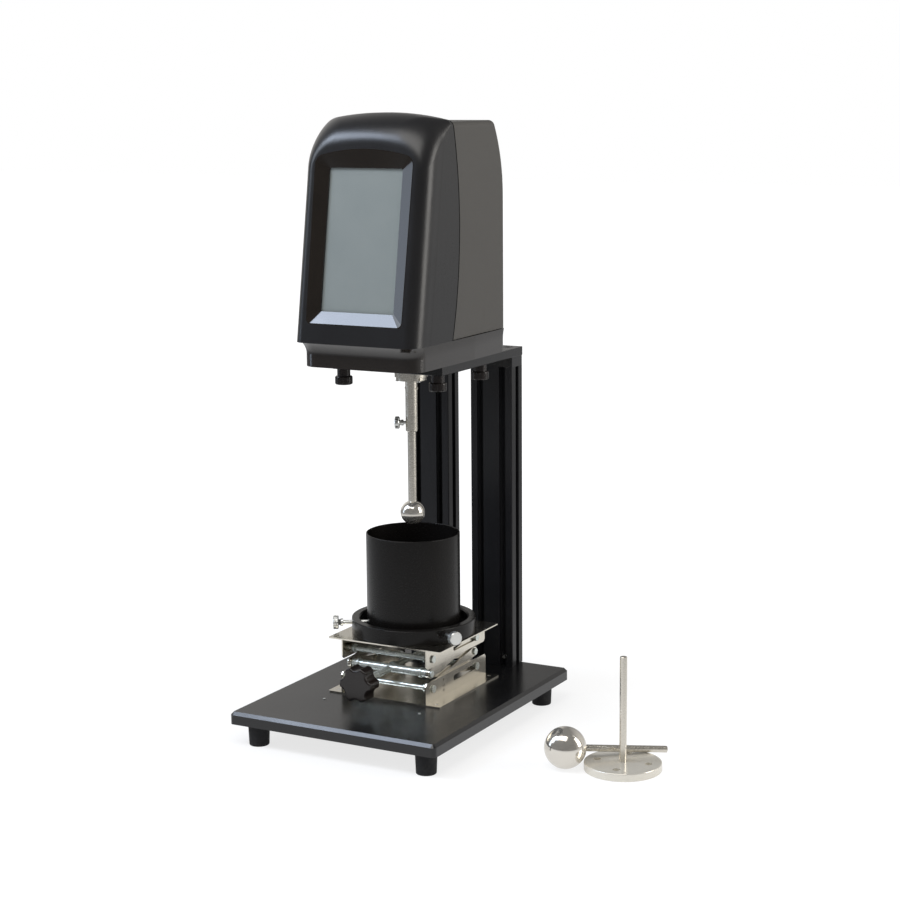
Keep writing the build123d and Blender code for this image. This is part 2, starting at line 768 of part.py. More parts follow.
def make_jack_knob():
    plane = Plane(origin=(0, jack_knob_centre_y + jack_knob_length / 2, jack_mid_z), z_dir=(0, -1, 0))
    outline = Circle(jack_knob_radius)
    dip = jack_knob_radius * 0.42
    for lobe in range(jack_knob_lobes):
        angle = radians(360.0 / jack_knob_lobes * lobe)
        reach = jack_knob_radius + dip * 0.55
        outline -= Pos(reach * cos(angle), reach * sin(angle)) * Circle(dip)
    outline = fillet(outline.vertices(), 2.2)
    knob = plane * extrude(Pos(0, 0, 7) * outline, jack_knob_length - 7)
    knob = fillet(knob.faces().sort_by(Axis.Y)[0].edges(), 2.4)
    knob += plane * Cone(9.5, 14.0, 7.0, align=LOW)
    return knob - rod(jack_screw_radius, 40, (0, jack_knob_centre_y, jack_mid_z), (0, 1, 0))


# ---- head covers -------------------------------------------------------------
def face_height(z):
    """Distance up the leaning face from the cover's bottom edge to height z."""
    return (z - cover_bottom) / cos(radians(face_lean))


def face_plane(offset):
    """Plane of the leaning face, moved back by offset; its Y runs up the face."""
    lean = radians(face_lean)
    outwards = (0, -cos(lean), sin(lean))
    return Plane(origin=(0, cover_front_y + offset, cover_bottom), x_dir=(1, 0, 0), z_dir=outwards)


def behind_face(distance):
    """Plane parallel to the leaning face, at a distance behind it."""
    return face_plane(0).offset(-distance)


def cover_section(plane, rise, half_width, shoulder, crown, corner, bottom):
    """Outline with a crowned top; rise turns a height into the plane's own Y."""
    low, side, top = (rise(z) for z in (bottom, shoulder, crown))
    edge = Polyline((-half_width, side), (-half_width, low), (half_width, low), (half_width, side))
    arch = ThreePointArc((half_width, side), (0, top), (-half_width, side))
    outline = make_face(edge + arch)
    corners = outline.vertices().sort_by(Axis.Y)[-2:]
    return plane * fillet(corners, corner)


def cover_body(wall):
    """Front cover's full form, or its inner form when a wall thickness is taken off."""
    bottom = cover_bottom - (6.0 if wall else 0.0)
    half = cover_half_width - wall
    nose = []
    for step in range(nose_sections):
        turn = radians(90.0 * step / (nose_sections - 1))
        depth = brow_depth * (1 - cos(turn))
        brow = brow_height * (1 - sin(turn))
        sweep = max(0.0, 1 - depth / cheek_depth)
        cheek = cheek_width * (1 - sqrt(1 - sweep * sweep))
        corner = face_corner_radius + (cover_corner_radius - face_corner_radius) * sin(2 * turn)
        section = cover_section(
            face_plane(depth + wall), face_height, half - cheek,
            cover_shoulder - brow - wall, cover_crown - brow - wall, corner - wall, bottom,
        )
        nose.append(section)
    tail = [nose[-1]]
    for y in (seam_start_y, seam_end_y):
        plane = Plane(origin=(0, y, 0), x_dir=(1, 0, 0), z_dir=(0, -1, 0))
        section = cover_section(
            plane, lambda z: z, half,
            cover_shoulder - wall, cover_crown - wall, seam_corner_radius - wall, bottom,
        )
        tail.append(section)
    return loft(nose) + loft(tail, ruled=True)


def seam_region(shift):
    """Everything in front of the curved seam between the covers, moved by shift along Y."""
    low, middle, high = [(y + shift, z) for y, z in seam_points]
    arc = ThreePointArc(low, middle, high)
    above, below, ahead = high[1] + 32.0, low[1] - 53.0, cover_front_y - 93.0
    frame = Polyline(high, (high[0] - 3.0, above), (ahead, above), (ahead, below), (low[0] - 3.0, below), low)
    return on_side_plane(make_face(frame + arc), -120, 240)


def rear_profile(inset, bottom):
    """Side view of the rear cover: upright back, long rounding above the shoulder and a flat top."""
    run = rear_y - rear_top_edge_y
    drop = rear_top - rear_shoulder_height
    radius = (run**2 + drop**2) / (2 * run)
    centre = rear_y - radius
    reach = radius - inset
    back, top = rear_y - inset, rear_top - inset
    rise = top - rear_shoulder_height
    top_edge = centre + sqrt(reach**2 - rise**2)
    turn = asin(rise / reach) / 2
    middle = (centre + reach * cos(turn), rear_shoulder_height + reach * sin(turn))
    frame = Polyline(
        (top_edge, top), (rear_front, top), (rear_front, bottom), (back, bottom), (back, rear_shoulder_height)
    )
    outline = make_face(frame + ThreePointArc((back, rear_shoulder_height), middle, (top_edge, top)))
    corner = outline.vertices().filter_by(lambda v: abs(v.X - top_edge) < 0.01 and abs(v.Y - top) < 0.01)
    return fillet(corner, rear_crown_radius - inset)


def rear_body(inset, bottom):
    """Rear cover's full form, or the form inset by a wall; a negative inset gives clearance."""
    half = rear_half_width - inset
    narrow = half - rear_taper
    back = rear_y - inset
    plan = Polyline((-half, rear_front), (half, rear_front), (narrow, back), (-narrow, back), close=True)
    block = on_side_plane(rear_profile(inset, bottom), -half, 2 * half)
    block &= Pos(0, 0, bottom) * extrude(make_face(plan), rear_top - bottom + 1)
    sides = block.edges().filter_by(lambda e: abs(e.center().X) > narrow - 1)
    rims = sides.filter_by(lambda e: e.center().Y > rear_front + 1 and e.center().Z > bottom + 1)
    return fillet(rims, rear_edge_radius - inset)


def chin_section(lift):
    """Plan of the lower housing at a height above the start of its flare."""
    share = (lift / chin_flare_height) ** 2
    half = chin_half_width + chin_flare_side * share
    front = chin_front_y - chin_flare_front * share
    plan = make_face(
        Polyline((-half, front), (half, front), (half, 40.0), (half - rear_taper * 0.6, rear_y - 0.5),
                 (-half + rear_taper * 0.6, rear_y - 0.5), (-half, 40.0), close=True)
    )
    plan = fillet(plan.vertices().sort_by(Axis.Y)[:2], chin_corner_radius)
    plan = fillet(plan.vertices().sort_by(Axis.Y)[-2:], rear_edge_radius)
    return Pos(0, 0, cover_bottom - chin_flare_height + lift) * plan


def make_lower_housing():
    flare_start = cover_bottom - chin_flare_height
    sections = [chin_section(lift) for lift in (0.0, chin_flare_height * 0.4, chin_flare_height * 0.75)]
    sections.append(chin_section(chin_flare_height - seam_gap))
    body = Pos(0, 0, arm_top - flare_start) * extrude(chin_section(0.0), flare_start - arm_top)
    body += loft(sections)
    hollow = offset(chin_section(0.0), -chin_wall)
    body -= Pos(0, 0, arm_top + chin_floor - flare_start) * extrude(hollow, 60.0)
    body -= rod(pilot_radius + 0.5, 60, (0, spindle_y, arm_top - 10))
    for x, y in clamp_knob_spots.values():
        body += rod(6.5, chin_floor + 5.0, (x, y, arm_top))
        body -= rod(clamp_stud_radius + running_gap, 40, (x, y, arm_top - 10))
    return body


def arched_outline(half_low, half_high, low, side, top, corners):
    """Outline on the face with upright sides and an arched top; corners are the low and high radii."""
    edge = Polyline((-half_high, side), (-half_low, low), (half_low, low), (half_high, side))
    outline = make_face(edge + ThreePointArc((half_high, side), (0, top), (-half_high, side)))
    outline = fillet(outline.vertices().sort_by(Axis.Y)[-2:], corners[1])
    return fillet(outline.vertices().sort_by(Axis.Y)[:2], corners[0])


def window_outline(margin):
    """Outline of the display window, drawn up the leaning face."""
    low, high = face_height(window_low) - margin, face_height(window_high) + margin
    half = window_width / 2 + margin
    corner = window_corner + max(margin, 0)
    return arched_outline(half, half, low, high, high + window_arch, (corner, corner))


def bezel_outline(grow):
    low, side, top = (face_height(z) for z in (bezel_low, bezel_side_top, bezel_arch_top))
    half = bezel_half_width + grow
    wide = half + bezel_top_spread
    return arched_outline(half, wide, low - grow, side, top + grow, (bezel_low_corner, bezel_high_corner))


def make_front_cover():
    cover = cover_body(0.0) & seam_region(0.0)
    cover -= cover_body(cover_wall) & seam_region(-seam_rim)
    cover -= rear_body(-seam_gap, cover_bottom - 10.0) - seam_region(-seam_overlap - seam_gap)
    return cover - behind_face(-5.0) * extrude(bezel_outline(0.1), -30)


def make_bezel_frame():
    depth = window_depth
    block = face_plane(0) * extrude(bezel_outline(0.0), -(depth + bezel_back))
    rim = face_plane(0) * bezel_outline(-bezel_land)
    funnel = loft([rim, behind_face(depth) * window_outline(0.0)], ruled=True)
    block -= funnel
    return block - behind_face(-5.0) * extrude(window_outline(0.0), -40)


def display_layer(margin, start, thickness):
    return behind_face(start) * extrude(window_outline(margin), -thickness)


def make_touch_glass():
    return display_layer(glass_margin, glass_front, glass_thickness)


def make_display_module():
    return display_layer(glass_margin - 1.0, display_front, display_thickness)


def board_spots():
    low, high = face_height(window_low) + 8.0, face_height(window_high) - 8.0
    x = window_width / 2 - 8.0
    return [(side * x, y) for side in (-1, 1) for y in (low, high)]


def make_control_board():
    board = display_layer(-3.0, board_front, board_thickness)
    middle = face_height((window_low + window_high) / 2)
    chips = [
        (-18.0, middle + 30.0, 16.0, 16.0, 2.0),
        (16.0, middle - 8.0, 24.0, 12.0, 3.0),
        (-20.0, middle - 42.0, 12.0, 30.0, 7.0),
    ]
    for x, y, width, height, thick in chips:
        chip = Box(width, height, thick, align=HIGH)
        board += behind_face(board_front + board_thickness) * Pos(x, y) * chip
    for x, y in board_spots():
        board += behind_face(board_front) * Pos(x, y) * Cylinder(2.5, board_gap, align=LOW)
    return board


def make_rear_cover():
    cover = rear_body(0.0, cover_bottom) - rear_body(cover_wall, cover_bottom - 5.0)
    cover -= seam_region(-seam_overlap)
    z = connector_height
    cover -= Pos(switch_x, rear_y, z) * Box(switch_width, 20, switch_height)
    cover -= Pos(usb_x, rear_y, z) * Box(12.6, 20, 11.6)
    cover -= rod(inlet_radius, 20, (inlet_x, rear_y - 10, z), (0, 1, 0))
    for slot in range(vent_slots):
        height = vent_bottom + slot * vent_pitch
        plane = Plane(origin=(0, rear_y + 20, height), x_dir=(1, 0, 0), z_dir=(0, -1, 0))
        cover -= extrude(plane * SlotOverall(vent_length, vent_width), 60)
    return cover


# ---- connectors on the back ---------------------------------------------------
def make_power_inlet():
    """Round low-voltage power socket with a centre pin, held in the cover by its flange and nut."""
    z = connector_height
    socket = rod(inlet_radius, 18.0, (inlet_x, rear_y - 16, z), (0, 1, 0))
    socket += rod(inlet_radius + 2.2, 2.0, (inlet_x, rear_y, z), (0, 1, 0))
    inside = Plane(origin=(inlet_x, rear_y - cover_wall, z), z_dir=(0, -1, 0))
    socket += extrude(inside * RegularPolygon(9.0, 6), 3.0)
    socket -= rod(3.2, 12.0, (inlet_x, rear_y - 9, z), (0, 1, 0))
    return socket + rod(1.05, 9.0, (inlet_x, rear_y - 10, z), (0, 1, 0))


def make_switch_frame():
    z = connector_height
    lead = (Align.CENTER, Align.MIN, Align.CENTER)
    flange = Pos(switch_x, rear_y, z) * Box(switch_width + 3, 1.6, switch_height + 3, align=lead)
    flange = fillet(flange.edges().filter_by(Axis.Y), 1.0)
    frame = flange + Pos(switch_x, rear_y - 16, z) * Box(switch_width, 16, switch_height, align=lead)
    frame -= Pos(switch_x, rear_y - 12, z) * Box(switch_width - 2.0, 20, switch_height - 2.0, align=lead)
    start = (switch_x - switch_width / 2, rocker_pivot_y, connector_height)
    return frame - rod(rocker_axle_radius + running_gap, switch_width, start, (1, 0, 0))


def make_power_rocker():
    half = (switch_width - 2.6) / 2
    pad = Pos(rocker_pivot_y, connector_height) * Circle(rocker_radius)
    pad -= Pos(rocker_pivot_y + 23.5, connector_height) * Circle(18.5)
    pad &= Pos(rocker_pivot_y + 8, connector_height) * Rectangle(20, 40)
    pad += Pos(rocker_pivot_y, connector_height) * Circle(3.0)
    rocker = on_side_plane(pad, switch_x - half, 2 * half)
    axle_start = (switch_x - switch_width / 2 + 0.2, rocker_pivot_y, connector_height)
    rocker += rod(rocker_axle_radius, switch_width - 0.4, axle_start, (1, 0, 0))
    return rocker.rotate(Axis((0, rocker_pivot_y, connector_height), (1, 0, 0)), -switch_throw / 2)


def make_data_socket():
    z = connector_height
    lead = (Align.CENTER, Align.MAX, Align.CENTER)
    socket = Pos(usb_x, rear_y, z) * Box(12.6, 16, 11.6, align=lead)
    socket -= Pos(usb_x, rear_y, z) * Box(8.6, 11, 7.8, align=lead)
    return socket + Pos(usb_x, rear_y - 1, z) * Box(5.6, 14, 3.2, align=lead)


# ---- inside the head ----------------------------------------------------------
def leg_spots():
    x, y = motor_plate_width / 2 - 7.0, motor_plate_depth / 2 - 7.0
    return [(a * x, spindle_y + b * y) for a in (-1, 1) for b in (-1, 1)]


def make_motor_bracket():
    """Bridge over the bearing housing: a plate on four legs that stand on the housing floor."""
    bracket = Pos(0, spindle_y, motor_plate_height) * Box(
        motor_plate_width, motor_plate_depth, motor_plate_thickness, align=LOW
    )
    bracket = fillet(bracket.edges().filter_by(Axis.Z), 4.0)
    low = arm_top + chin_floor
    for x, y in leg_spots():
        bracket += rod(leg_radius, motor_plate_height - low, (x, y, low))
    return bracket - rod(motor_plate_bore, 20, (0, spindle_y, motor_plate_height - 5))


def make_torque_sensor():
    low = motor_plate_height + motor_plate_thickness
    ring = rod(sensor_radius, sensor_height, (0, spindle_y, low)) - rod(8.0, 40, (0, spindle_y, low - 5))
    for angle in range(45, 360, 90):
        rim = Pos(0, spindle_y, low + sensor_height / 2) * Rot(0, 0, angle) * Pos(sensor_radius, 0, 0)
        ring -= rim * Box(16, 12, 5)
    return ring


def make_drive_motor():
    low = motor_plate_height + motor_plate_thickness + sensor_height
    motor = Pos(0, spindle_y, low) * Box(motor_square, motor_square, motor_length, align=LOW)
    motor = chamfer(motor.edges().filter_by(Axis.Z), 5.0)
    waist = Pos(0, spindle_y, low + 9) * Box(motor_square + 2, motor_square + 2, motor_length - 18, align=LOW)
    waist -= Pos(0, spindle_y, low) * Box(motor_square - 1.6, motor_square - 1.6, motor_length, align=LOW)
    return motor - waist


# ---- clamp knobs under the arm --------------------------------------------------
def make_clamp_knob(spot):
    x, y = spot
    top = arm_bottom - clamp_knob_gap
    neck_low = top - clamp_knob_neck_height
    low = neck_low - clamp_knob_height
    knob = rod(clamp_knob_radius, clamp_knob_height, (x, y, low))
    knob = fillet(knob.edges().filter_by(GeomType.CIRCLE), 1.8)
    for tooth in range(12):
        angle = radians(30 * tooth)
        knob -= rod(1.2, clamp_knob_height, (x + 10.9 * cos(angle), y + 10.9 * sin(angle), low))
    knob += rod(clamp_knob_neck_radius, clamp_knob_neck_height, (x, y, neck_low))
    stud = rod(clamp_stud_radius, arm_top + chin_floor + clamp_stud_bite - neck_low, (x, y, neck_low))
    return knob + chamfer(stud.edges().sort_by(Axis.Z)[-1], 0.6)


# ---- spare measuring bodies -------------------------------------------------------
def spare_rod_line():
    """Unit heading of the rod that leans from the ball over the disc's far rim."""
    heading = radians(spare_rod_heading)
    across = (disc_spot[0] - spare_ball_spot[0], disc_spot[1] - spare_ball_spot[1])
    along = across[0] * cos(heading) + across[1] * sin(heading)
    aside = across[0] * sin(heading) - across[1] * cos(heading)
    rim = along + sqrt(disc_radius**2 - aside**2)
    drop = spare_ball_radius - (disc_thickness + spare_rod_radius + 0.35)
    fall = atan2(drop, rim)
    return (cos(heading) * cos(fall), sin(heading) * cos(fall), -sin(fall))


def make_spare_ball():
    centre = (*spare_ball_spot, spare_ball_radius)
    heading = spare_rod_line()
    seat = tuple(centre[i] + heading[i] * (spare_ball_radius - 9.0) for i in range(3))
    return Pos(*centre) * Sphere(spare_ball_radius) - rod(spare_rod_radius, 30, seat, heading)


def make_spare_ball_rod():
    centre = (*spare_ball_spot, spare_ball_radius)
    heading = spare_rod_line()
    seat = tuple(centre[i] + heading[i] * (spare_ball_radius - 9.0) for i in range(3))
    bar = rod(spare_rod_radius, spare_rod_length - spare_ball_radius + 9.0, seat, heading)
    return chamfer(bar.edges().filter_by(GeomType.CIRCLE), 0.5)


def make_spare_disc():
    x, y = disc_spot
    disc = rod(disc_radius, disc_thickness, (x, y, 0))
    disc = fillet(disc.edges().filter_by(GeomType.CIRCLE), 1.0)
    for turn in (10, 100, 190, 280):
        angle = radians(turn)
        spot = (x + disc_hole_circle * cos(angle), y + disc_hole_circle * sin(angle), -5)
        disc -= rod(disc_hole_radius, 20, spot)
    return disc - rod(disc_spigot_radius, disc_thickness, (x, y, disc_spigot_bottom))


def make_spare_disc_rod():
    shank = rod(disc_rod_radius, disc_rod_top - disc_thickness, (*disc_spot, disc_thickness))
    shank = chamfer(shank.edges().filter_by(GeomType.CIRCLE).sort_by(Axis.Z)[-1:], 0.5)
    spigot_length = disc_thickness - disc_spigot_bottom
    return shank + rod(disc_spigot_radius, spigot_length, (*disc_spot, disc_spigot_bottom))


# ---- assembly ------------------------------------------------------------------
def stand_pieces():
    return {
        "base_plate": make_base_plate(),
        "feet": make_feet(),
        "foot_screws": make_foot_screws(),
        "column_left": make_column(-1),
        "column_right": make_column(1),
        "column_bolts": make_column_bolts(),
        "column_caps": make_column_caps(),
        "arm_plate": make_arm_plate(),
        "arm_bolts": make_arm_bolts(),
    }


def drive_pieces():
    return {
        "bearing_housing": make_bearing_housing(),
        "spindle_bearings": make_bearings(),
        "drive_shaft": make_drive_shaft(),
        "shaft_coupling": make_shaft_coupling(),
        "motor_shaft": make_motor_shaft(),
        "spindle_sleeve": make_spindle_sleeve(),
        "sleeve_pin": make_sleeve_pin(),
        "sleeve_thumb_screw": make_sleeve_thumb_screw(),
        "spindle_shaft": make_spindle_shaft(),
        "measuring_ball": make_measuring_ball(),
        "motor_bracket": make_motor_bracket(),
        "torque_sensor": make_torque_sensor(),
        "drive_motor": make_drive_motor(),
    }


def cup_pieces():
    found = {"sample_cup": make_sample_cup(), "cup_holder": make_cup_holder()}
    for name, heading in clamp_headings.items():
        found[f"cup_clamp_screw_{name}"] = make_cup_clamp_screw(heading)
    return found


def jack_pieces():
    screw_bore = jack_screw_radius + running_gap
    riveted = (loose_hole, tight_hole, loose_hole)
    return {
        "jack_base": make_jack_base(),
        "jack_screws": make_jack_screws(),
        "jack_platform": make_platform(),
        "lower_lift_bars": arm_bars(outer_layer, near_low, far_mid, riveted, True),
        "lower_cross_bars": arm_bars(inner_layer, far_low, near_mid, (tight_hole, loose_hole, loose_hole)),
        "upper_lift_bars": arm_bars(inner_layer, far_mid, near_top, riveted, True),
        "upper_cross_bars": arm_bars(outer_layer, near_mid, far_top, (loose_hole, loose_hole, tight_hole)),
        "base_pivot_rod": make_pivot_rod(*near_low),
        "base_slide_rod": make_pivot_rod(*far_low),
        "platform_pivot_rod": make_pivot_rod(*near_top),
        "platform_slide_rod": make_pivot_rod(*far_top),
        "front_trunnion": make_trunnion(jack_pivot_y, screw_bore, jack_bush_radius),
        "rear_trunnion": make_trunnion(jack_far_y, screw_bore, jack_bush_radius),
        "jack_screw": make_jack_screw(),
        "jack_knob": make_jack_knob(),
    }


def head_pieces():
    found = {
        "lower_housing": make_lower_housing(),
        "front_cover": make_front_cover(),
        "rear_cover": make_rear_cover(),
        "bezel_frame": make_bezel_frame(),
        "touch_glass": make_touch_glass(),
        "display_module": make_display_module(),
        "control_board": make_control_board(),
        "power_inlet": make_power_inlet(),
        "switch_frame": make_switch_frame(),
        "power_rocker": make_power_rocker(),
        "data_socket": make_data_socket(),
    }
    for name, spot in clamp_knob_spots.items():
        found[f"clamp_knob_{name}"] = make_clamp_knob(spot)
    return found


def spare_pieces():
    return {
        "spare_ball": make_spare_ball(),
        "spare_ball_rod": make_spare_ball_rod(),
        "spare_disc": make_spare_disc(),
        "spare_disc_rod": make_spare_disc_rod(),
    }


os.makedirs("parts", exist_ok=True)
for family in (stand_pieces(), drive_pieces(), cup_pieces(), jack_pieces(), head_pieces(), spare_pieces()):
    for node, shape in family.items():
        export_step(shape, f"parts/{node}.step")
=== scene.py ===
# %% [markdown]
# A rotational viscometer measures how thick a liquid is. A motor in the head turns a steel ball in the
# sample cup, and a sensor reads the torque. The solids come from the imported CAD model, which is loaded
# as a fixed frame: nothing in it is moved or reshaped here. This script gives every solid its finish,
# adds the small screws that are too fine for the CAD model, and sets up the studio.

from math import atan2, cos, pi, radians, sin

import bmesh
import bpy
from mathutils import Matrix, Vector, geometry


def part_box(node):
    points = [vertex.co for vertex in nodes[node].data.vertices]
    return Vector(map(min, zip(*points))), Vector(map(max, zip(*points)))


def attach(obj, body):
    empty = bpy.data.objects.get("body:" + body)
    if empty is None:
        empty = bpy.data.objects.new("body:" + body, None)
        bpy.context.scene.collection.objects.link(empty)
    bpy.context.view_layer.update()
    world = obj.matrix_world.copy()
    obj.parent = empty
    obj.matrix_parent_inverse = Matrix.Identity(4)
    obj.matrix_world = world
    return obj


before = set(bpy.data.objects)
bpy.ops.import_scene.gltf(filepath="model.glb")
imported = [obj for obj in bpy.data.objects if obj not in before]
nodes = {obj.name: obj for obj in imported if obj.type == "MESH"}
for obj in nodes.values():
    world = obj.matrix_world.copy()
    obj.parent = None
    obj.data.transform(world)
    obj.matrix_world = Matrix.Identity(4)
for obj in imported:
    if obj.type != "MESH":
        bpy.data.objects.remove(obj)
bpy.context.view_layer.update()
mm = 0.001

# %% [markdown]
# Shader maths reads best as plain arithmetic. This small class wraps the output socket of a node and
# overloads the operators, so that an expression such as 1 - grain * 0.3 adds the Math nodes it needs.


# %% Arithmetic on sockets
class Signal:
    """A grey value somewhere in a material's node tree."""

    def __init__(self, tree, socket):
        self.tree = tree
        self.socket = socket

    def maths(self, operation, first, second):
        node = self.tree.nodes.new("ShaderNodeMath")
        node.operation = operation
        for slot, value in zip(node.inputs, (first, second)):
            if isinstance(value, Signal):
                self.tree.links.new(value.socket, slot)
            else:
                slot.default_value = value
        return Signal(self.tree, node.outputs[0])

    def __add__(self, other):
        return self.maths("ADD", self, other)

    def __radd__(self, other):
        return self.maths("ADD", other, self)

    def __sub__(self, other):
        return self.maths("SUBTRACT", self, other)

    def __rsub__(self, other):
        return self.maths("SUBTRACT", other, self)

    def __mul__(self, other):
        return self.maths("MULTIPLY", self, other)

    def __rmul__(self, other):
        return self.maths("MULTIPLY", other, self)

    def __truediv__(self, other):
        return self.maths("DIVIDE", self, other)

    def at_least(self, floor):
        return self.maths("MAXIMUM", self, floor)


# %% [markdown]
# A finish is one material. Its patterns are read from object coordinates, which are metres in the frame,
# so a grain of 0.2 mm stays 0.2 mm on every piece. One method makes any node; the others name the few
# patterns that this workshop uses: a cloud of noise, a remap between limits, a mix of two colours and a
# bump.


# %% A material and its patterns
class Finish:
    """One procedural material built around a Principled shader."""

    def __init__(self, name, **constants):
        self.material = bpy.data.materials.new(name)
        self.material.use_nodes = True
        self.tree = self.material.node_tree
        self.shader = self.tree.nodes["Principled BSDF"]
        for socket, value in constants.items():
            self.shader.inputs[socket.replace("_", " ")].default_value = value
        self.place = self.make("ShaderNodeTexCoord", out="Object")

    def make(self, kind, settings=None, out=0, **sockets):
        """Adds a node: its settings first, then the values or links of its sockets."""
        node = self.tree.nodes.new(kind)
        for setting, value in (settings or {}).items():
            setattr(node, setting, value)
        for name, value in sockets.items():
            key = int(name[1:]) if name[0] == "i" and name[1:].isdigit() else name.replace("_", " ")
            slot = node.inputs[key]
            if isinstance(value, Signal):
                self.tree.links.new(value.socket, slot)
            else:
                slot.default_value = value
        return Signal(self.tree, node.outputs[out])

    def cloud(self, size, detail=2.0, stretch=(1, 1, 1)):
        """Noise whose patches are about size metres across, longer along a stretched axis."""
        scaled = tuple(1 / (size * factor) for factor in stretch)
        place = self.make("ShaderNodeMapping", Vector=self.place, Scale=scaled)
        return self.make("ShaderNodeTexNoise", Vector=place, Scale=1.0, Detail=detail)

    def remap(self, value, low, high, start=0.0, end=1.0):
        """Stretches the span low to high of a value onto start to end."""
        return self.make("ShaderNodeMapRange", Value=value, i1=low, i2=high, i3=start, i4=end)

    def colours(self, mask, first, second):
        """Goes from the first colour to the second as the mask rises."""
        settings = {"data_type": "RGBA"}
        return self.make("ShaderNodeMix", settings, out=2, i0=mask, i6=(*first, 1), i7=(*second, 1))

    def feed(self, socket, value):
        """Sends a varying value to one of the shader's inputs."""
        self.tree.links.new(value.socket, self.shader.inputs[socket])

    def relief(self, height, depth):
        """Turns a height pattern into bumps of a depth in metres."""
        self.feed("Normal", self.make("ShaderNodeBump", Height=height, Distance=depth, Strength=1.0))


# %% [markdown]
# Moulded and painted parts. The head is moulded in black plastic with a fine spark-eroded grain, the
# plates are powder coated, and the columns are drawn aluminium that was blasted and anodised. All are
# black, so the eye tells them apart by gloss: each gets its own roughness, grain size and streaks.


# %% Black finishes
def moulded(name, shade, gloss, grain, coat=0.0):
    """Satin moulding: a fine even grain, faint cloudy gloss and a few long handling marks."""
    finish = Finish(name, Specular_IOR_Level=0.45, Coat_Weight=coat, Coat_Roughness=0.12)
    fine = finish.cloud(grain, 1.0)
    broad = finish.cloud(60 * mm, 3.0)
    marks = finish.remap(finish.cloud(9 * mm, 4.0, (0.15, 1, 5)), 0.66, 0.8)
    lighter = tuple(value * 1.25 + 0.002 for value in shade)
    finish.feed("Base Color", finish.colours(broad * 0.6 + fine * 0.4, shade, lighter))
    finish.feed("Roughness", gloss + (broad - 0.5) * 0.12 + (fine - 0.5) * 0.1 + marks * 0.08)
    finish.relief(fine, 0.012 * mm)
    return finish.material


def powder_coated(name, shade, gloss):
    """Powder coat: the soft orange-peel skin, with a little dust lying on it."""
    finish = Finish(name, Specular_IOR_Level=0.5)
    peel = finish.cloud(1.4 * mm, 2.0)
    speck = finish.remap(finish.cloud(0.5 * mm, 1.0), 0.62, 0.75)
    broad = finish.cloud(80 * mm, 4.0)
    lighter = tuple(value * 1.35 + 0.003 for value in shade)
    finish.feed("Base Color", finish.colours(broad * 0.7 + speck * 0.3, shade, lighter))
    finish.feed("Roughness", gloss + (broad - 0.5) * 0.14 + speck * 0.06)
    finish.relief(peel, 0.03 * mm)
    return finish.material


def anodised(name, shade, gloss, along, shine):
    """Anodised aluminium: fine matt blasting with drawing lines along the bar."""
    finish = Finish(name, Specular_IOR_Level=shine)
    stretch = tuple(60 if axis == along else 1 for axis in "XYZ")
    lines = finish.cloud(0.8 * mm, 3.0, stretch)
    blast = finish.cloud(0.25 * mm, 1.0)
    broad = finish.cloud(70 * mm, 3.0)
    lighter = tuple(value * 1.5 + 0.004 for value in shade)
    finish.feed("Base Color", finish.colours(lines * 0.7 + broad * 0.3, shade, lighter))
    finish.feed("Roughness", gloss + (lines - 0.5) * 0.16 + (broad - 0.5) * 0.1)
    finish.relief(blast * 0.6 + lines * 0.4, 0.015 * mm)
    return finish.material


head_black = moulded("head_moulding", (0.008, 0.0078, 0.0085), 0.3, 0.35 * mm)
# The rear cover is partly a greyer, rougher moulding and partly painted sheen: its base colour is raised to
# a warm grey for the bright warm light its black plastic reflects.
rear_black_painted_sheen = moulded("rear_moulding_painted_sheen", (0.052, 0.049, 0.044), 0.45, 0.45 * mm)
# The chin's warm brown tint is painted reflection: its glossy black plastic mirrors the warm table.
chin_black_reflection_tint = moulded("chin_moulding_reflection_tint", (0.009, 0.0065, 0.005), 0.18, 0.3 * mm, 0.7)
knob_black = moulded("knob_moulding", (0.008, 0.0055, 0.0045), 0.2, 0.5 * mm)
socket_black = moulded("socket_moulding", (0.015, 0.015, 0.016), 0.3, 0.3 * mm)
plate_black = powder_coated("plate_powder_coat", (0.0045, 0.0045, 0.005), 0.24)
column_black = anodised("column_anodising", (0.006, 0.006, 0.007), 0.36, "Z", 0.3)
cup_black = anodised("cup_anodising", (0.004, 0.0034, 0.003), 0.25, "X", 0.2)
print("black finishes made")


# %% [markdown]
# The bezel is polished to a mirror and the display behind its cover glass is off, so it shows the grey
# of its polariser. Rubber is the opposite: rough, a little dusty and never quite black.


# %% Gloss, display and rubber
def gloss_black():
    """Polished moulding under a thin clear coat."""
    finish = Finish("bezel_gloss", Coat_Weight=0.4, Coat_Roughness=0.03, Specular_IOR_Level=0.4)
    broad = finish.cloud(30 * mm, 3.0)
    finish.feed("Base Color", finish.colours(broad, (0.007, 0.0052, 0.0038), (0.013, 0.0095, 0.007)))
    finish.feed("Roughness", 0.07 + broad * 0.06)
    finish.relief(finish.cloud(32 * mm, 0.0), 0.3 * mm)
    return finish.material


def display_off():
    """The grey of a display that is switched off, under its cover glass."""
    finish = Finish("display_glass", Coat_Weight=0.5, Coat_Roughness=0.05, Specular_IOR_Level=0.5)
    broad = finish.cloud(45 * mm, 4.0)
    weave = finish.cloud(0.9 * mm, 1.0)
    tint = broad * 0.8 + weave * 0.2
    finish.feed("Base Color", finish.colours(tint, (0.178, 0.203, 0.202), (0.224, 0.247, 0.24)))
    finish.feed("Roughness", 0.16 + broad * 0.08)
    return finish.material


def rubber_black():
    """Moulded rubber with a little dust on it."""
    finish = Finish("foot_rubber", Specular_IOR_Level=0.3)
    dust = finish.cloud(5 * mm, 5.0)
    grain = finish.cloud(0.4 * mm, 2.0)
    dusty = finish.remap(dust, 0.5, 0.8)
    finish.feed("Base Color", finish.colours(dusty, (0.008, 0.008, 0.009), (0.025, 0.024, 0.023)))
    finish.feed("Roughness", 0.62 + dust * 0.25)
    finish.relief(grain, 0.05 * mm)
    return finish.material


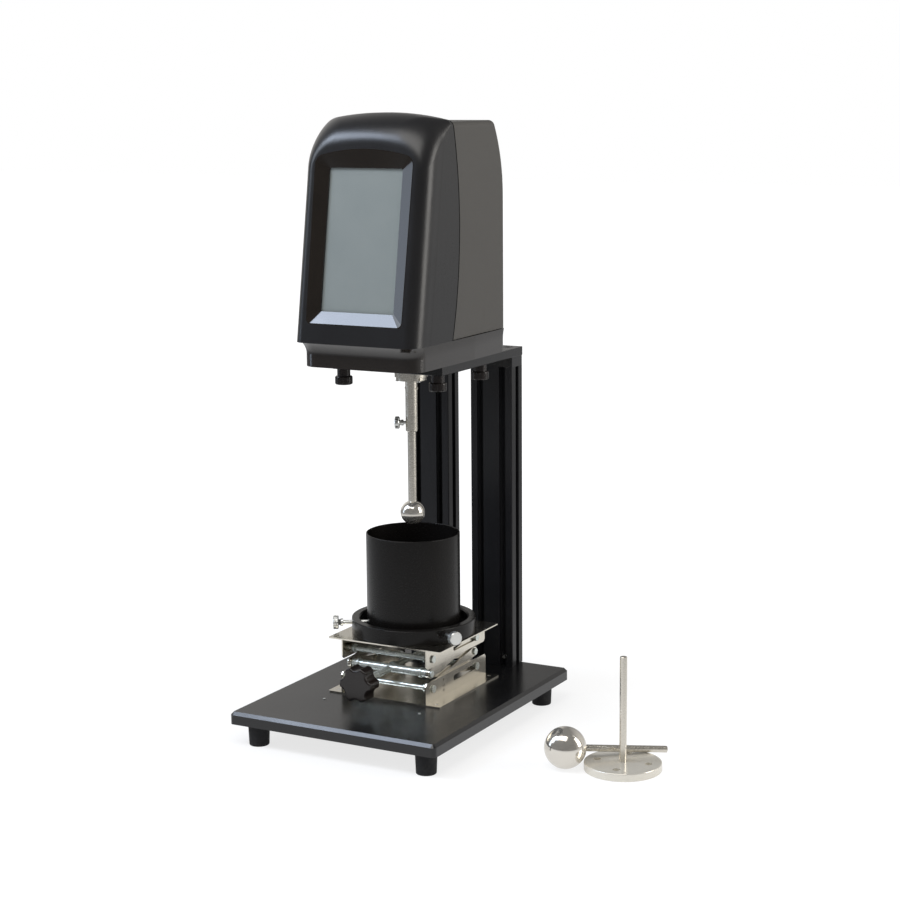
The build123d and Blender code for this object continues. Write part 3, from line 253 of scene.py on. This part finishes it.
def painted_seam_shadow():
    """Near-black dull rubber for the seam strip: painted shadow of the gap between the covers, with faint
    dust.
    """
    finish = Finish("painted_seam_shadow", Specular_IOR_Level=0.1)
    dust = finish.cloud(3 * mm, 3.0)
    finish.feed("Base Color", finish.colours(dust, (0.003, 0.003, 0.003), (0.006, 0.006, 0.006)))
    finish.feed("Roughness", 0.8 + dust * 0.1)
    return finish.material


bezel_black = gloss_black()
seam_shadow_black = painted_seam_shadow()
display_grey = display_off()
rubber = rubber_black()


# %% [markdown]
# Bright metal. Turned steel keeps the lathe's rings around its axis, sheet steel keeps the rolling
# lines along one direction, and nickel plate is smooth with small stains. The rings are noise that is
# squeezed along one axis and stretched along the others, which keeps them irregular as real ones are.


# %% Metal finishes
def bright(name, tone, gloss, size, stretch, depth, metal=1.0):
    """Bare metal with marks of a size, drawn out by the stretch, over broad cloudy stains."""
    finish = Finish(name, Metallic=metal)
    marks = finish.cloud(size, 3.0, stretch)
    stains = finish.cloud(16 * mm, 4.0)
    darker = tuple(value * 0.82 for value in tone)
    finish.feed("Base Color", finish.colours(stains * 0.5 + marks * 0.5, darker, tone))
    finish.feed("Roughness", gloss + (marks - 0.5) * gloss * 0.9 + (stains - 0.5) * gloss * 0.6)
    finish.relief(marks, depth)
    return finish.material


def faced(name, tone, gloss, centre, pitch, depth):
    """Metal faced on a lathe: rings of a pitch round the centre, which spread a light into a fan."""
    finish = Finish(name, Metallic=0.5)
    centred = finish.make("ShaderNodeVectorMath", {"operation": "SUBTRACT"}, i0=finish.place, i1=centre)
    flat = finish.make("ShaderNodeVectorMath", {"operation": "MULTIPLY"}, i0=centred, i1=(1, 1, 0))
    across = finish.make("ShaderNodeVectorMath", {"operation": "LENGTH"}, i0=flat, out="Value")
    rings = finish.make("ShaderNodeTexNoise", {"noise_dimensions": "1D"}, W=across * (1 / pitch), Scale=1.0)
    stains = finish.cloud(16 * mm, 4.0)
    darker = tuple(value * 0.8 for value in tone)
    finish.feed("Base Color", finish.colours(stains * 0.6 + rings * 0.4, darker, tone))
    finish.feed("Roughness", gloss + (stains - 0.5) * gloss * 0.5)
    finish.relief(rings, depth)
    return finish.material


disc_low, disc_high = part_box("spare_disc")
disc_centre = tuple((Vector(disc_low) + Vector(disc_high)) / 2)
faced_steel = faced("faced_steel", (0.84, 0.80, 0.71), 0.2, disc_centre, 2.2 * mm, 0.1 * mm)
turned_steel = bright("turned_steel", (0.76, 0.72, 0.64), 0.26, 0.08 * mm, (90, 90, 1), 0.0002 * mm, 0.9)
mirror_steel = bright("polished_steel", (0.82, 0.78, 0.71), 0.12, 0.5 * mm, (1, 1, 1), 0.0006 * mm, 0.86)
sheet_steel = bright("sheet_steel", (0.80, 0.76, 0.67), 0.22, 0.5 * mm, (1, 50, 50), 0.0001 * mm)
nickel = bright("nickel_plate", (0.84, 0.85, 0.83), 0.3, 0.6 * mm, (1, 1, 1), 0.0002 * mm)
zinc = bright("zinc_plate", (0.74, 0.78, 0.74), 0.26, 0.6 * mm, (1, 1, 1), 0.0002 * mm, 0.7)
black_oxide = bright("black_oxide", (0.05, 0.05, 0.052), 0.35, 0.5 * mm, (1, 1, 1), 0.006 * mm)
machined = bright("machined_aluminium", (0.72, 0.73, 0.74), 0.3, 0.3 * mm, (80, 80, 1), 0.006 * mm)
motor_black = bright("motor_enamel", (0.03, 0.03, 0.033), 0.4, 1 * mm, (1, 1, 1), 0.01 * mm)


def printed_board():
    """Green solder mask with faint tracks under it."""
    finish = Finish("solder_mask", Specular_IOR_Level=0.5, Coat_Weight=0.2)
    tracks = finish.remap(finish.cloud(1.2 * mm, 0.0, (8, 1, 1)), 0.5, 0.55)
    finish.feed("Base Color", finish.colours(tracks, (0.01, 0.07, 0.03), (0.02, 0.13, 0.05)))
    finish.feed("Roughness", 0.3 + tracks * 0.15)
    finish.relief(tracks, 0.03 * mm)
    return finish.material


board_green = printed_board()
print("metal finishes made")

# %% [markdown]
# Each CAD solid takes one finish. Assigning to the material slots changes only the look: the mesh and
# its place stay as the frame gives them.

# %% Paint the CAD solids
painted = {
    plate_black: ["base_plate", "column_caps", "arm_plate"],
    rubber: ["feet"],
    nickel: [
        "foot_screws", "jack_screws", "sleeve_thumb_screw", "cup_clamp_screw_rear", "cup_clamp_screw_left",
        "cup_clamp_screw_right", "spindle_bearings", "data_socket",
    ],
    zinc: [
        "base_pivot_rod", "base_slide_rod", "platform_pivot_rod", "platform_slide_rod", "front_trunnion",
        "rear_trunnion", "jack_screw",
    ],
    column_black: ["column_left", "column_right"],
    black_oxide: ["column_bolts", "arm_bolts"],
    turned_steel: [
        "bearing_housing", "drive_shaft", "motor_shaft", "spindle_sleeve", "sleeve_pin", "spindle_shaft",
        "spare_ball_rod", "spare_disc_rod",
    ],
    faced_steel: ["spare_disc"],
    mirror_steel: ["measuring_ball", "spare_ball"],
    machined: ["shaft_coupling", "motor_bracket", "torque_sensor"],
    motor_black: ["drive_motor"],
    cup_black: ["sample_cup", "cup_holder"],
    sheet_steel: [
        "jack_base", "jack_platform", "lower_lift_bars", "lower_cross_bars", "upper_lift_bars",
        "upper_cross_bars",
    ],
    knob_black: ["jack_knob", "clamp_knob_front_left", "clamp_knob_front_right", "clamp_knob_rear_right"],
    chin_black_reflection_tint: ["lower_housing"],
    head_black: ["front_cover"],
    rear_black_painted_sheen: ["rear_cover"],
    bezel_black: ["bezel_frame"],
    display_grey: ["touch_glass", "display_module"],
    board_green: ["control_board"],
    socket_black: ["power_inlet", "switch_frame", "power_rocker"],
}
for finish, names in painted.items():
    for name in names:
        nodes[name].data.materials.clear()
        nodes[name].data.materials.append(finish)
bare = sorted(set(nodes) - {name for names in painted.values() for name in names})
print("solids painted", len(nodes) - len(bare), "left", bare)


# %% [markdown]
# Small socket screws hold the bearing flange, the cup ring, the head and the back cover. One function
# makes them all: a circle is extruded up into the head, pulled in for the rounded rim, drawn in again to
# a hexagon and pushed down for the key. The function works in the screw's own axes and then turns the
# mesh to face outwards, so the object itself stays at the origin.


# %% A socket screw
def hexagon(point, radius):
    """The point moved onto a hexagon of that inner radius, keeping its direction."""
    angle = point.xy.angle_signed(Vector((1, 0)))
    reach = radius / cos((angle % radians(60)) - radians(30))
    return Vector((reach * cos(angle), reach * sin(angle), point.z))


def widen(mesh, edges, shift, factor):
    """Extrudes a ring of edges, lifts it and scales it about the axis; returns the new ring."""
    made = bmesh.ops.extrude_edge_only(mesh, edges=edges)["geom"]
    verts = [item for item in made if isinstance(item, bmesh.types.BMVert)]
    bmesh.ops.translate(mesh, verts=verts, vec=(0, 0, shift))
    bmesh.ops.scale(mesh, verts=verts, vec=(factor, factor, 1))
    return [item for item in made if isinstance(item, bmesh.types.BMEdge)], verts


def facing(direction):
    """Rotation that turns +Z to a direction."""
    return Vector((0, 0, 1)).rotation_difference(Vector(direction)).to_matrix().to_4x4()


def socket_screws(name, seats, direction, radius, height, body, finish):
    """Screw heads of one size that stand on their seats; all in one piece that rides on a body."""
    mesh = bmesh.new()
    for seat in seats:
        one = bmesh.new()
        bmesh.ops.create_circle(one, cap_ends=False, radius=radius, segments=24)
        ring = list(one.edges)
        ring, _ = widen(one, ring, height * 0.75, 1.0)
        ring, _ = widen(one, ring, height * 0.25, 0.86)
        ring, verts = widen(one, ring, 0.0, 0.7)
        for vert in verts:
            vert.co = hexagon(vert.co, radius * 0.48)
        ring, _ = widen(one, ring, -height * 0.6, 1.0)
        bmesh.ops.edgeloop_fill(one, edges=ring)
        bmesh.ops.edgeloop_fill(one, edges=[edge for edge in one.edges if edge.is_boundary])
        bmesh.ops.recalc_face_normals(one, faces=one.faces)
        place = Matrix.Translation(seat) @ facing(direction)
        bmesh.ops.transform(one, matrix=place, verts=one.verts)
        part = bpy.data.meshes.new("part")
        one.to_mesh(part)
        one.free()
        mesh.from_mesh(part)
        bpy.data.meshes.remove(part)
    return finished(name, mesh, body, finish)


def finished(name, mesh, body, finish):
    """Turns a bmesh into an object with its finish, riding on a body."""
    data = bpy.data.meshes.new(name)
    mesh.to_mesh(data)
    mesh.free()
    piece = bpy.data.objects.new(name, data)
    bpy.context.scene.collection.objects.link(piece)
    data.materials.append(finish)
    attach(piece, body)
    print(name, "faces", len(data.polygons))
    return piece


# %% [markdown]
# The screws go where the solids have their holes or seats. The spindle axis is the middle of the bearing
# housing, so its place and the flange's height are read from the frame instead of being written again.

# %% Screws of the flange, the cup ring and the stand
flange_low, flange_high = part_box("bearing_housing")
axis_y = (flange_low.y + flange_high.y) / 2
flange_circle = 16.2 * mm
flange_seats = [
    (flange_circle * cos(radians(turn)), axis_y + flange_circle * sin(radians(turn)), flange_low.z)
    for turn in (-28, 92, 212)
]
socket_screws("flange_screws", flange_seats, (0, 0, -1), 1.9 * mm, 1.4 * mm, "stand", nickel)

holder_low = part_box("cup_holder")[0]
square = 30 * mm
ring_floor = holder_low.z + 1.2 * mm
holder_seats = [(x, axis_y + y, ring_floor) for x in (-square, square) for y in (-square, square)]
socket_screws("ring_screws", holder_seats, (0, 0, 1), 2.3 * mm, 1.4 * mm, "platform", nickel)

column_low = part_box("column_right")[0]
plate_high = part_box("base_plate")[1]
groove_depth, groove_offset, groove_rise = 8.5 * mm, 58.5 * mm, 10 * mm
plate_offset, plate_forward = 63.5 * mm, 77 * mm
back_offset, back_rises = 60 * mm, (12 * mm, 140 * mm)
groove_floor = column_low.y + groove_depth
groove_seats = [(side * groove_offset, groove_floor, column_low.z + groove_rise) for side in (-1, 1)]
socket_screws("groove_screws", groove_seats, (0, -1, 0), 2.2 * mm, 6.5 * mm, "stand", nickel)
plate_seats = [(side * plate_offset, -plate_forward, plate_high.z) for side in (-1, 1)]
socket_screws("plate_screws", plate_seats, (0, 0, 1), 1.6 * mm, 0.7 * mm, "stand", nickel)

cover_low, cover_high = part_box("rear_cover")
back_seats = [
    (side * back_offset, cover_high.y, cover_low.z + rise) for side in (-1, 1) for rise in back_rises
]
socket_screws("cover_screws", back_seats, (0, 1, 0), 2.6 * mm, 1.6 * mm, "stand", black_oxide)
print("spindle axis at y", axis_y)

# %% [markdown]
# A flat black strip lies in the seam between the front and the rear cover: painted shadow for the dark
# gap of the seam. Its outline is the front cover's own rear rim: the rim's vertices lie on the cylinder of
# the curved seam, and those that are on the convex hull of their front view make the outer edge. Its edges
# are extruded inwards for the face of the band and then back for its width of 1.3 mm, a hair proud of the
# covers.


# %% Painted seam shadow between the covers
def circle_through(first, second, third):
    """Centre and radius of the circle through three points of a plane."""
    chord, other = second - first, third - first
    normal = 2 * chord.cross(other)
    across = Vector((-chord.y, chord.x)) * other.length_squared
    along = Vector((-other.y, other.x)) * chord.length_squared
    centre = first + (across - along) / normal
    return centre, (centre - first).length


def seam_rim(cover, marks):
    """Vertices of the cover that lie on the seam, in the order of the outer edge."""
    centre, radius = circle_through(*marks)
    rim = [
        vert.co.copy() for vert in cover.data.vertices
        if abs((Vector((vert.co.y, vert.co.z)) - centre).length - radius) < 0.05 * mm
    ]
    hull = [rim[index] for index in geometry.convex_hull_2d([(point.x, point.z) for point in rim])]
    lowest = min(point.z for point in rim)
    sides = [
        (start.xz, end.xz) for start, end in zip(hull, hull[1:] + hull[:1])
        if max(start.z, end.z) > lowest + 0.1 * mm and (start - end).length > 0.001 * mm
    ]
    outer = [point for point in rim if min(off_side(point.xz, *side) for side in sides) < 0.3 * mm]
    outer.sort(key=lambda point: -atan2(point.x, point.z - lowest + 1 * mm))
    outline = outer[:1]
    for point in outer[1:]:
        if (point - outline[-1]).length > 0.5 * mm:
            outline.append(point)
    return outline


def off_side(point, start, end):
    """Distance of a point of the front view from one side of the hull."""
    share = (point - start).dot(end - start) / (end - start).length_squared
    return (point - start.lerp(end, min(max(share, 0), 1))).length


def inwards(outline, index):
    """Unit direction in the front view that points from an outline's vertex into its middle."""
    before, after = outline[max(index - 1, 0)], outline[min(index + 1, len(outline) - 1)]
    run = Vector((after.x - before.x, 0, after.z - before.z)).normalized()
    return Vector((-run.z, 0, run.x))


seam_curve = [Vector(mark) * mm for mark in ((-22, 457.5), (-6.5, 644.5), (-17, 702.5))]
rim = seam_rim(nodes["front_cover"], seam_curve)
shadow_strip = bmesh.new()
front_edge = Vector((0, -0.35, 0)) * mm
edge_verts = [shadow_strip.verts.new(p + front_edge - inwards(rim, i) * 0.15 * mm) for i, p in enumerate(rim)]
for first, second in zip(edge_verts, edge_verts[1:]):
    shadow_strip.edges.new((first, second))
drawn = bmesh.ops.extrude_edge_only(shadow_strip, edges=shadow_strip.edges[:])["geom"]
inner_verts = [item for item in drawn if isinstance(item, bmesh.types.BMVert)]
for vert in inner_verts:
    nearest = min(range(len(rim)), key=lambda i: (rim[i] - vert.co).length)
    vert.co += inwards(rim, nearest) * 1.9 * mm
raised = bmesh.ops.extrude_face_region(shadow_strip, geom=shadow_strip.faces[:])["geom"]
raised_verts = [item for item in raised if isinstance(item, bmesh.types.BMVert)]
bmesh.ops.translate(shadow_strip, verts=raised_verts, vec=(0, 1.3 * mm, 0))
bmesh.ops.recalc_face_normals(shadow_strip, faces=shadow_strip.faces)
# The strip is painted shadow: a near-black band where the gap between the covers is dark.
finished("seam_shadow_strip", shadow_strip, "stand", seam_shadow_black)

# %% [markdown]
# The studio: a pale floor, a white world and large soft lamps. The floor mixes plain white in for rays
# that come straight from the camera, so it reads as a white sweep but still keeps a soft shadow.


# %% Floor and world
def studio_floor():
    """A pale floor that reads white to the camera and glows softly in what it is mirrored by."""
    finish = Finish("floor_white", Roughness=0.7, Specular_IOR_Level=0.0)
    finish.shader.inputs["Base Color"].default_value = (0.9, 0.9, 0.9, 1)
    rightwards = finish.make("ShaderNodeSeparateXYZ", Vector=finish.place)
    backwards = finish.make("ShaderNodeSeparateXYZ", out=1, Vector=finish.place)
    away = finish.make("ShaderNodeVectorMath", {"operation": "LENGTH"}, Vector=finish.place, out="Value")
    seen = finish.make("ShaderNodeLightPath", out="Is Camera Ray")
    mirrored = finish.make("ShaderNodeLightPath", out="Is Glossy Ray")
    near = finish.remap(away, 0.4, 1.4, 0.9, 0.12)
    far = finish.remap(backwards * 0.8 + rightwards * 0.6, 0.5, 3.0, 0.0, 0.45)
    white = finish.remap(away, 0.2, 0.8, 1.05, 1.38)
    strength = seen * white + mirrored * (near + far)
    glow = finish.make("ShaderNodeEmission", Color=(1, 1, 1, 1), Strength=strength)
    mix = finish.tree.nodes.new("ShaderNodeMixShader")
    share = seen * 0.72 + mirrored * 0.8
    finish.tree.links.new(share.socket, mix.inputs[0])
    finish.tree.links.new(finish.shader.outputs[0], mix.inputs[1])
    finish.tree.links.new(glow.socket, mix.inputs[2])
    finish.tree.links.new(mix.outputs[0], finish.tree.nodes["Material Output"].inputs["Surface"])
    return finish.material


floor_mesh = bmesh.new()
bmesh.ops.create_grid(floor_mesh, x_segments=1, y_segments=1, size=12.0)
floor_data = bpy.data.meshes.new("floor")
floor_mesh.to_mesh(floor_data)
floor_mesh.free()
floor = bpy.data.objects.new("floor", floor_data)
bpy.context.scene.collection.objects.link(floor)
floor_data.materials.append(studio_floor())
floor.location.z = -0.2 * mm

world = bpy.data.worlds.new("studio")
bpy.context.scene.world = world
world.use_nodes = True
tree = world.node_tree


def wall(colour, strength):
    """A background light of one colour; the strength may be a value or a signal."""
    light = tree.nodes.new("ShaderNodeBackground")
    light.inputs["Color"].default_value = (*colour, 1)
    if isinstance(strength, Signal):
        tree.links.new(strength.socket, light.inputs["Strength"])
    else:
        light.inputs["Strength"].default_value = strength
    return light.outputs[0]


def mixed(share, first, second):
    """Two backgrounds mixed by a share of the second."""
    mix = tree.nodes.new("ShaderNodeMixShader")
    tree.links.new(share.socket, mix.inputs[0])
    tree.links.new(first, mix.inputs[1])
    tree.links.new(second, mix.inputs[2])
    return mix.outputs[0]


paths = tree.nodes.new("ShaderNodeLightPath")
bearing = tree.nodes.new("ShaderNodeTexCoord")
parts = tree.nodes.new("ShaderNodeSeparateXYZ")
tree.links.new(bearing.outputs["Generated"], parts.inputs[0])
rightwards = Signal(tree, parts.outputs[0])
backwards = Signal(tree, parts.outputs[1])
right_window = (backwards * 0.8 + rightwards * 0.6 - 0.5).at_least(0.0) * 1.1
left_window = (-0.36 - rightwards).at_least(0.0) * backwards.at_least(0.0) * 3.2
ambient = wall((0.96, 0.97, 1.0), 0.45)
reflected = wall((1.0, 0.98, 0.95), right_window + left_window + 0.16)
plain_white = wall((1, 1, 1), 1.0)
seen = Signal(tree, paths.outputs["Is Camera Ray"])
mirrored = Signal(tree, paths.outputs["Is Glossy Ray"])
through = Signal(tree, paths.outputs["Is Transmission Ray"])
around = mixed(mirrored, ambient, reflected)
studio = mixed(seen + through, around, plain_white)
tree.links.new(studio, tree.nodes["World Output"].inputs["Surface"])


# %% Lamps
def softbox(name, spot, aim, width, height, power, tint):
    """A rectangular area lamp at a spot, facing the point it is aimed at."""
    lamp = bpy.data.lights.new(name, "AREA")
    lamp.shape = "RECTANGLE"
    lamp.size, lamp.size_y = width, height
    lamp.energy = power
    lamp.color = tint
    lit = bpy.data.objects.new(name, lamp)
    bpy.context.scene.collection.objects.link(lit)
    lit.location = spot
    lit.rotation_mode = "QUATERNION"
    lit.rotation_quaternion = (Vector(aim) - Vector(spot)).to_track_quat("-Z", "Y")
    return lit


middle = Vector((0.0, 0.0, 0.4))
softbox("overhead", (0.1, -0.9, 2.0), middle, 1.6, 0.9, 18, (1.0, 0.98, 0.95))
softbox("window", (-0.85, -0.8, 1.6), middle, 0.7, 0.4, 10.5, (0.72, 0.82, 1.0))
softbox("left", (-1.7, -0.95, 1.55), middle, 0.9, 1.1, 13, (0.78, 0.87, 1.0))
softbox("sill", (-1.9, -0.8, 0.6), middle, 0.5, 0.9, 3, (0.7, 0.82, 1.0))
softbox("right", (1.8, 0.7, 0.9), middle, 0.8, 1.4, 16, (1.0, 0.97, 0.92))
print("lamps made")

# %% [markdown]
# The camera stands a little to the right and just above the head's middle, about 2.3 m away, with a long
# lens. Its heading is turned 28.7 degrees from the front and it looks 10 degrees down.

# %% Camera
camera_data = bpy.data.cameras.new("camera")
camera = bpy.data.objects.new("camera", camera_data)
bpy.context.scene.collection.objects.link(camera)
bpy.context.scene.camera = camera
camera_place, lens_length, sensor_width = (1.16778, -2.01992, 0.74512), 81.89, 36.0
heading, tilt, lean = radians(28.66), radians(10.2), radians(-0.47)
camera_data.sensor_width = sensor_width
camera_data.lens = lens_length
ahead = Vector((-sin(heading) * cos(tilt), cos(heading) * cos(tilt), -sin(tilt)))
level = Vector((cos(heading), sin(heading), 0))
upright = level.cross(ahead)
right = level * cos(lean) + upright * sin(lean)
up = upright * cos(lean) - level * sin(lean)
turn = Matrix((right, up, -ahead)).transposed().to_4x4()
camera.matrix_world = Matrix.Translation(camera_place) @ turn
bpy.context.scene.view_settings.view_transform = "Standard"
